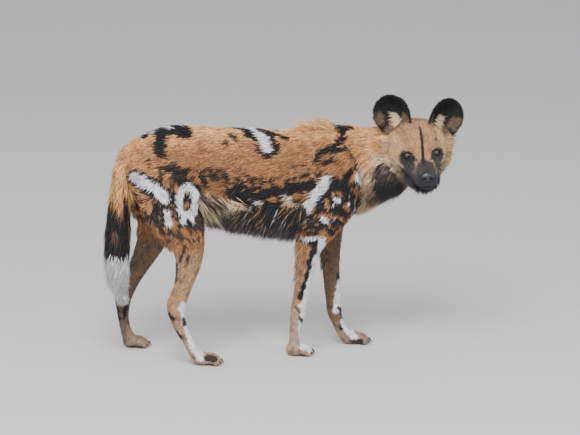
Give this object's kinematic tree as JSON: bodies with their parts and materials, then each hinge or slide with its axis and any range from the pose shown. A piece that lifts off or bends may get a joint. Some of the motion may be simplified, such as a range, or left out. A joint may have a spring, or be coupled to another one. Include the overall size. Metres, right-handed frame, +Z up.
{
  "type": "african wild dog, standing, life size",
  "caption": "Life-size still model of an adult African wild dog standing on four paws with its head turned to its right, mottled coat and large round ears.",
  "frame": {"origin": "centre of the bounding box at floor level", "axes": "+X from rump to chest, +Y to the animal's left, +Z up"},
  "size_m": [0.992, 0.35, 0.7281],
  "materials": {
    "coat": "short fur in tan, black and white blotches, with long locks on throat, withers, belly, flank and tail",
    "ear_coat": "short black fur with pale tufts inside the cup",
    "nose_leather": "moist, pebbled",
    "eye": "wet, dark brown",
    "claw": "dark horn"
  },
  "bodies": {
    "root": {"head": "coat", "nose": "nose_leather", "eye_right": "eye", "ear_right": "ear_coat", "eye_left": "eye", "ear_left": "ear_coat", "front_right_shoulder": "coat", "front_right_forearm": "coat", "front_right_paw": "coat", "front_right_claw_1": "claw", "front_right_claw_2": "claw", "front_right_claw_3": "claw", "front_right_claw_4": "claw", "front_left_shoulder": "coat", "front_left_forearm": "coat", "front_left_paw": "coat", "front_left_claw_1": "claw", "front_left_claw_2": "claw", "front_left_claw_3": "claw", "front_left_claw_4": "claw", "hind_right_thigh": "coat", "hind_right_shank": "coat", "hind_right_paw": "coat", "hind_right_claw_1": "claw", "hind_right_claw_2": "claw", "hind_right_claw_3": "claw", "hind_right_claw_4": "claw", "hind_left_thigh": "coat", "hind_left_shank": "coat", "hind_left_paw": "coat", "hind_left_claw_1": "claw", "hind_left_claw_2": "claw", "hind_left_claw_3": "claw", "hind_left_claw_4": "claw", "neck": "coat", "torso": "coat", "tail": "coat"}
  },
  "joints": []
}
